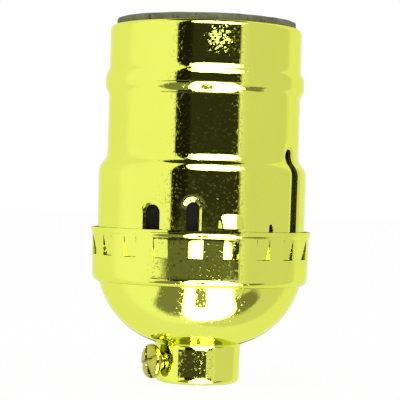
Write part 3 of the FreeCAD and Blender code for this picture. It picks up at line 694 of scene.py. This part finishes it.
def add(tree, kind, inputs=None, **settings):
    """Adds a node: its settings, and for each input socket a value or the output that feeds it."""
    made = tree.nodes.new(kind)
    for name, value in settings.items():
        setattr(made, name, value)
    for socket, value in (inputs or {}).items():
        if isinstance(value, bpy.types.NodeSocket):
            tree.links.new(value, made.inputs[socket])
        else:
            made.inputs[socket].default_value = value
    return made


def new_material(name):
    """A material with only its shader and output, and the tree, shader and Object coordinates."""
    material = bpy.data.materials.new(name)
    material.use_nodes = True
    tree = material.node_tree
    tree.nodes.clear()
    shader = add(tree, "ShaderNodeBsdfPrincipled")
    add(tree, "ShaderNodeOutputMaterial", {"Surface": shader.outputs["BSDF"]})
    place = add(tree, "ShaderNodeTexCoord").outputs["Object"]
    return material, tree, shader, place


def per_metre(millimetres):
    """A noise scale whose features are about this many millimetres across."""
    return 1000 / millimetres


def polished_brass():
    """Polished drawn brass: mirror bright and yellow-green to its very edges, with the shallow waves
    and upright lines that drawing leaves, fine dust pits that break up its reflections, and a
    scuffed patch that sparkles near the mouth."""
    scuff_azimuth, scuff_below_mouth, scuff_heart, scuff_rim = 8, 3.2, 0.3, 3.3
    material, tree, shader, place = new_material("polished_drawn_brass")
    waves = add(
        tree, "ShaderNodeTexNoise", {"Vector": place, "Scale": per_metre(9.0), "Detail": 2.0}
    )
    pits = add(
        tree, "ShaderNodeTexNoise", {"Vector": place, "Scale": per_metre(0.45), "Detail": 3.0}
    )
    specks = add(
        tree,
        "ShaderNodeMapRange",
        {"Value": pits.outputs["Fac"], "From Min": 0.58, "From Max": 0.72},
    )
    upright = add(
        tree, "ShaderNodeVectorMath", {0: place, 1: (1.0, 1.0, 0.05)}, operation="MULTIPLY"
    )
    lines = add(
        tree,
        "ShaderNodeTexNoise",
        {"Vector": upright.outputs["Vector"], "Scale": per_metre(0.8), "Detail": 2.0},
    )
    tint = add(
        tree,
        "ShaderNodeMix",
        {"Factor": waves.outputs["Fac"], 6: colour("DFE75E"), 7: colour("E6ED68")},
        data_type="RGBA",
    )
    haze = add(
        tree,
        "ShaderNodeMapRange",
        {
            "Value": pits.outputs["Fac"],
            "From Min": 0.35,
            "From Max": 0.75,
            "To Min": 0.03,
            "To Max": 0.12,
        },
    )
    scuffed = Vector((0, 0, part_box("outer_shell")[1].z - scuff_below_mouth * MM))
    scuffed += outward(scuff_azimuth) * SHELL_NECK_RADIUS * MM
    away = add(tree, "ShaderNodeVectorMath", {0: place, 1: scuffed}, operation="DISTANCE")
    near = add(
        tree,
        "ShaderNodeMapRange",
        {
            "Value": away.outputs["Value"],
            "From Min": scuff_heart * MM,
            "From Max": scuff_rim * MM,
            "To Min": 1.0,
            "To Max": 0.0,
        },
    )
    nicks = add(
        tree,
        "ShaderNodeMapRange",
        {"Value": pits.outputs["Fac"], "From Min": 0.52, "From Max": 0.66},
    )
    scuffs = add(
        tree,
        "ShaderNodeMath",
        {0: near.outputs["Result"], 1: nicks.outputs["Result"]},
        operation="MULTIPLY",
    )
    # each relief's height, strength and depth in millimetres
    reliefs = (
        (scuffs.outputs["Value"], 0.8, 0.045),
        (waves.outputs["Fac"], 0.1, 0.3),
        (lines.outputs["Fac"], 0.12, 0.02),
        (specks.outputs["Result"], 0.3, 0.02),
    )
    normal = None
    for height, strength, depth in reliefs:
        inputs = {"Height": height, "Strength": strength, "Distance": depth * MM}
        if normal:
            inputs["Normal"] = normal
        normal = add(tree, "ShaderNodeBump", inputs).outputs["Normal"]
    tree.links.new(tint.outputs[2], shader.inputs["Base Color"])
    tree.links.new(haze.outputs["Result"], shader.inputs["Roughness"])
    tree.links.new(normal, shader.inputs["Normal"])
    shader.inputs["Metallic"].default_value = 1.0
    shader.inputs["Specular Tint"].default_value = colour("F4F6C0")
    return material


def bright_metal(name, light, dark, roughness, grain_width):
    """Metal that is plated, dipped or rolled bright: a fine grain, faint stains and a soft gleam."""
    material, tree, shader, place = new_material(name)
    grain = add(
        tree, "ShaderNodeTexNoise", {"Vector": place, "Scale": per_metre(grain_width), "Detail": 4.0}
    )
    stain = add(
        tree, "ShaderNodeTexNoise", {"Vector": place, "Scale": per_metre(2.5), "Detail": 3.0}
    )
    tint = add(
        tree,
        "ShaderNodeMix",
        {"Factor": stain.outputs["Fac"], 6: colour(dark), 7: colour(light)},
        data_type="RGBA",
    )
    gleam = add(
        tree,
        "ShaderNodeMapRange",
        {"Value": grain.outputs["Fac"], "To Min": roughness * 0.6, "To Max": roughness * 1.5},
    )
    marks = add(
        tree,
        "ShaderNodeBump",
        {"Height": grain.outputs["Fac"], "Strength": 0.3, "Distance": 0.02 * MM},
    )
    tree.links.new(tint.outputs[2], shader.inputs["Base Color"])
    tree.links.new(gleam.outputs["Result"], shader.inputs["Roughness"])
    tree.links.new(marks.outputs["Normal"], shader.inputs["Normal"])
    shader.inputs["Metallic"].default_value = 1.0
    return material


def vulcanised_fibre():
    """Grey pressed fibre: matt, mottled by its pulp, with darker flecks and a fuzzy cut edge. Below
    the shell's mouth its colour is painted near black as painted shade inside the shell; above the
    mouth it keeps its mottled grey."""
    material, tree, shader, place = new_material("vulcanised_fibre")
    mottle = add(
        tree, "ShaderNodeTexNoise", {"Vector": place, "Scale": per_metre(1.6), "Detail": 6.0}
    )
    flecks = add(tree, "ShaderNodeTexVoronoi", {"Vector": place, "Scale": per_metre(0.7)})
    tint = add(
        tree,
        "ShaderNodeMix",
        {"Factor": mottle.outputs["Fac"], 6: colour("3A3A27"), 7: colour("8F9173")},
        data_type="RGBA",
    )
    edge = add(
        tree,
        "ShaderNodeMapRange",
        {"Value": flecks.outputs["Distance"], "From Min": 0.05, "From Max": 0.3},
    )
    flecked = add(
        tree,
        "ShaderNodeMix",
        {"Factor": edge.outputs["Result"], 6: colour("3C3B2E"), 7: tint.outputs[2]},
        data_type="RGBA",
    )
    # painted shade: below the shell's mouth the fibre's colour is mixed to near black (0D0C09),
    # standing in for the shade inside the shell; above the mouth it keeps its mottled grey
    height = add(tree, "ShaderNodeSeparateXYZ", {0: place}).outputs["Z"]
    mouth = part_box("outer_shell")[1].z
    above_mouth_share = add(
        tree,
        "ShaderNodeMapRange",
        {"Value": height, "From Min": mouth - 1.5 * MM, "From Max": mouth},
    )
    painted_shade_below_mouth = add(
        tree,
        "ShaderNodeMix",
        {"Factor": above_mouth_share.outputs["Result"], 6: colour("0D0C09"), 7: flecked.outputs[2]},
        data_type="RGBA",
    )
    fuzz = add(
        tree,
        "ShaderNodeBump",
        {"Height": mottle.outputs["Fac"], "Strength": 0.5, "Distance": 0.1 * MM},
    )
    tree.links.new(painted_shade_below_mouth.outputs[2], shader.inputs["Base Color"])
    tree.links.new(fuzz.outputs["Normal"], shader.inputs["Normal"])
    shader.inputs["Roughness"].default_value = 0.75
    shader.inputs["Specular IOR Level"].default_value = 0.12
    return material


def moulded_phenolic():
    """Compression-moulded phenolic: near-black brown, satin, with a faint flow mottle."""
    material, tree, shader, place = new_material("moulded_phenolic")
    flow = add(tree, "ShaderNodeTexNoise", {"Vector": place, "Scale": per_metre(3.0), "Detail": 5.0})
    tint = add(
        tree,
        "ShaderNodeMix",
        {"Factor": flow.outputs["Fac"], 6: colour("211C19"), 7: colour("3A302A")},
        data_type="RGBA",
    )
    skin = add(
        tree, "ShaderNodeMapRange", {"Value": flow.outputs["Fac"], "To Min": 0.32, "To Max": 0.55}
    )
    ripple = add(
        tree,
        "ShaderNodeBump",
        {"Height": flow.outputs["Fac"], "Strength": 0.25, "Distance": 0.05 * MM},
    )
    tree.links.new(tint.outputs[2], shader.inputs["Base Color"])
    tree.links.new(skin.outputs["Result"], shader.inputs["Roughness"])
    tree.links.new(ripple.outputs["Normal"], shader.inputs["Normal"])
    return material


def dress(piece, material):
    """Gives every face of a piece, or of a CAD node that stays, one material."""
    piece.data.materials.clear()
    piece.data.materials.append(material)


# ---- studio --------------------------------------------------------------------------------


def make_camera():
    """Level with the holder's middle, and rolled a little, so that the holder leans in its view."""
    sideways, distance, height, roll = -0.000276, 0.276, 0.0305, -1.65
    data = bpy.data.cameras.new("camera")
    data.lens = 147.6
    data.sensor_width = 36
    data.clip_start = 0.01
    camera = bpy.data.objects.new("camera", data)
    camera.location = (sideways, -distance, height)
    camera.rotation_euler = (math.radians(90.0), math.radians(roll), 0)
    bpy.context.scene.collection.objects.link(camera)
    bpy.context.scene.camera = camera


def make_floor():
    """A white sweep: lit white to the camera, and still matt enough to take a soft shadow."""
    bpy.ops.object.select_all(action="DESELECT")
    bpy.ops.mesh.primitive_plane_add(size=6.0, location=(0, 0, 0))
    floor = bpy.context.object
    floor.name = floor.data.name = "floor"
    material, tree, shader, _ = new_material("white_studio_floor")
    shader.inputs["Base Color"].default_value = colour("F7F7F7")
    shader.inputs["Roughness"].default_value = 0.9
    shader.inputs["Specular IOR Level"].default_value = 0.0
    glow = add(tree, "ShaderNodeEmission", {"Color": colour("FFFFFF"), "Strength": 1.0})
    light = add(tree, "ShaderNodeLightPath")
    share = add(
        tree, "ShaderNodeMath", {0: light.outputs["Is Camera Ray"], 1: 0.95}, operation="MULTIPLY"
    )
    lit = add(
        tree,
        "ShaderNodeMixShader",
        {0: share.outputs["Value"], 1: shader.outputs["BSDF"], 2: glow.outputs["Emission"]},
    )
    output = next(node for node in tree.nodes if node.bl_idname == "ShaderNodeOutputMaterial")
    tree.links.new(lit.outputs["Shader"], output.inputs["Surface"])
    dress(floor, material)
    floor.visible_glossy = False


def lay_panels(tree, level, across, up, panels):
    """Lays panels over a level of light, each a (middle, half size, corner, soft, strength)."""
    for middle, half, corner, soft, strength in panels:
        reach = 0.0
        for angle, centre, width in zip((across, up), middle, half):
            steps = (("SUBTRACT", centre), ("DIVIDE", width), ("ABSOLUTE", 0.0), ("POWER", corner))
            for operation, value in (*steps, ("ADD", reach)):
                step = add(tree, "ShaderNodeMath", {0: angle, 1: value}, operation=operation)
                angle = step.outputs["Value"]
            reach = angle
        edge = add(
            tree,
            "ShaderNodeMapRange",
            {
                "Value": reach,
                "From Min": 1 - soft,
                "From Max": 1 + soft,
                "To Min": 1.0,
                "To Max": 0.0,
            },
            interpolation_type="SMOOTHSTEP",
        )
        level = add(
            tree,
            "ShaderNodeMix",
            {0: edge.outputs["Result"], 2: level, 3: strength},
            data_type="FLOAT",
        ).outputs[0]
    return level


def make_studio():
    """White to the camera and plain to matt surfaces. Metal mirrors panels, a dark gap and cards."""
    world = bpy.data.worlds.new("studio")
    bpy.context.scene.world = world
    world.use_nodes = True
    tree = world.node_tree
    tree.nodes.clear()
    way = add(tree, "ShaderNodeTexCoord").outputs["Generated"]
    split = add(tree, "ShaderNodeSeparateXYZ", {0: way})
    sideways, height = split.outputs["X"], split.outputs["Z"]
    front = add(
        tree, "ShaderNodeMath", {0: split.outputs["Y"], 1: -1.0}, operation="MULTIPLY"
    ).outputs["Value"]
    angles = []
    for operation, first, second in (
        ("ARCTAN2", sideways, front),
        ("ARCSINE", height, 0.0),
        ("ARCTAN2", height, front),
    ):
        angle = add(tree, "ShaderNodeMath", {0: first, 1: second}, operation=operation)
        degrees = add(tree, "ShaderNodeMath", {0: angle.outputs["Value"]}, operation="DEGREES")
        angles.append(degrees.outputs["Value"])
    azimuth, elevation, tilt = angles

    # the walls' middles and half sizes are azimuths and elevations in degrees
    walls = [
        # left and right side panels
        ((-66, 0), (36, 95), 4, 0.95, 1.12),
        ((83, 0), (36, 95), 5, 0.7, 0.8),
        # the dark gap between them, with its darker left edge
        ((4.5, 10), (37.5, 88), 12, 0.5, 0.032),
        ((-25, 10), (9, 88), 6, 0.8, 0.012),
        # the dark ceiling
        ((0, 90), (181, 25.5), 12, 0.2, 0.03),
        # a narrow gap behind, which the turn of the azimuth cuts in two
        ((180, 21), (8, 52), 5, 0.6, 0.35),
        ((-180, 21), (8, 52), 5, 0.6, 0.35),
        # what stands low in the front gap
        ((0, -4.6), (39, 2.3), 5, 0.8, 0.17),
        ((36, -9), (12, 2.4), 12, 0.3, 0.9),
        ((-14, -9), (39, 2.4), 12, 0.3, 0.06),
    ]
    level = lay_panels(tree, 1.0, azimuth, elevation, walls)
    # the cards' middles and half sizes are a sideways part and a tilt from the front in degrees
    cards = [
        # the darker table
        ((-0.43, -54), (0.22, 27), 4, 0.6, 0.25),
        ((0.62, -70), (0.22, 16), 4, 0.6, 0.25),
        # a softbox overhead, and one on the table with the camera's stand over it
        ((0.18, 44), (0.42, 20.5), 3.5, 0.3, SOFTBOX_LIGHT),
        ((0.16, -48), (0.4, 35), 4, 0.3, SOFTBOX_LIGHT),
        ((0.03, -47), (0.1, 14), 8, 0.4, 0.4),
    ]
    level = lay_panels(tree, level, sideways, tilt, cards)

    light = add(tree, "ShaderNodeLightPath")
    direct = add(
        tree, "ShaderNodeMath", {0: light.outputs["Diffuse Depth"], 1: 0.5}, operation="LESS_THAN"
    )
    in_mirror = add(
        tree,
        "ShaderNodeMath",
        {0: light.outputs["Is Glossy Ray"], 1: direct.outputs["Value"]},
        operation="MULTIPLY",
    )
    mirrored, plain, white = (
        add(tree, "ShaderNodeBackground", {"Color": colour("FFFFFF"), "Strength": strength})
        for strength in (level, PLAIN_LIGHT, 1.0)
    )
    seen = add(
        tree,
        "ShaderNodeMixShader",
        {0: in_mirror.outputs["Value"], 1: plain.outputs[0], 2: mirrored.outputs[0]},
    )
    final = add(
        tree,
        "ShaderNodeMixShader",
        {0: light.outputs["Is Camera Ray"], 1: seen.outputs[0], 2: white.outputs[0]},
    )
    add(tree, "ShaderNodeOutputWorld", {"Surface": final.outputs[0]})


def make_lamps():
    """Two broad soft lamps for the matt surfaces and the floor."""
    middle = Vector((0, 0, 0.03))
    for name, place, power in (("key", (-0.5, -0.6, 0.8), 3.2), ("fill", (0.7, -0.4, 0.6), 1.6)):
        data = bpy.data.lights.new(name, "AREA")
        data.energy = power
        data.size = 0.6
        lamp = bpy.data.objects.new(name, data)
        lamp.location = place
        lamp.rotation_euler = (middle - Vector(place)).to_track_quat("-Z", "Y").to_euler()
        lamp.visible_glossy = False
        bpy.context.scene.collection.objects.link(lamp)


# ---- the whole holder ----------------------------------------------------------------------


def stand_in(piece, node, body, material):
    """A modelled piece takes a CAD node's place on its body, with its finish."""
    dress(piece, material)
    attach(piece, body)
    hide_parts(node)


def main():
    make_camera()
    brass = polished_brass()
    fibre = vulcanised_fibre()
    screw_brass = bright_metal("bright_dipped_brass", "DAD857", "8A8428", 0.09, 0.5)
    stamped = bright_metal("stamped_brass", "D8BE78", "B99A52", 0.28, 0.6)
    nickel = bright_metal("nickel_plate", "D6D3CA", "C2BFB6", 0.16, 0.5)
    zinc = bright_metal("zinc_plated_steel", "C9CBC6", "A9ABA6", 0.28, 0.5)
    aluminium = bright_metal("rolled_aluminium", "E2E2E0", "CFCFCD", 0.22, 0.4)
    phenolic = moulded_phenolic()

    stand_in(make_drawn_shell(), "outer_shell", "shell", brass)
    stand_in(make_tabbed_cap(), "cap", "cap", brass)
    stand_in(make_fibre_sleeve(), "shell_liner", "shell", fibre)
    stand_in(make_pipe_bushing(), "threaded_bushing", "cap", zinc)
    stand_in(make_screw_shell(), "screw_shell", "interior", aluminium)
    stand_in(make_neck_set_screw(), "set_screw", "set_screw", screw_brass)
    line = make_terminal_screw("line_screw", "line_screw_turn")
    stand_in(line, "line_terminal_screw", "line_screw", screw_brass)
    neutral = make_terminal_screw("neutral_screw", "neutral_screw_turn")
    stand_in(neutral, "neutral_terminal_screw", "neutral_screw", nickel)

    contact = make_sprung_contact()
    dress(contact, stamped)
    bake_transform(contact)
    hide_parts("centre_contact")

    finishes = {
        "cap_liner": fibre,
        "terminal_block": phenolic,
        "upper_insulator": phenolic,
        "line_terminal_plate": stamped,
        "neutral_terminal_plate": stamped,
        "contact_rivet": stamped,
        "body_rivet_front": stamped,
        "body_rivet_right": stamped,
        "body_rivet_left": stamped,
    }
    for node, material in finishes.items():
        dress(frame["nodes"][node], material)

    make_floor()
    make_studio()
    make_lamps()
    bpy.context.scene.view_settings.view_transform = "Standard"


main()
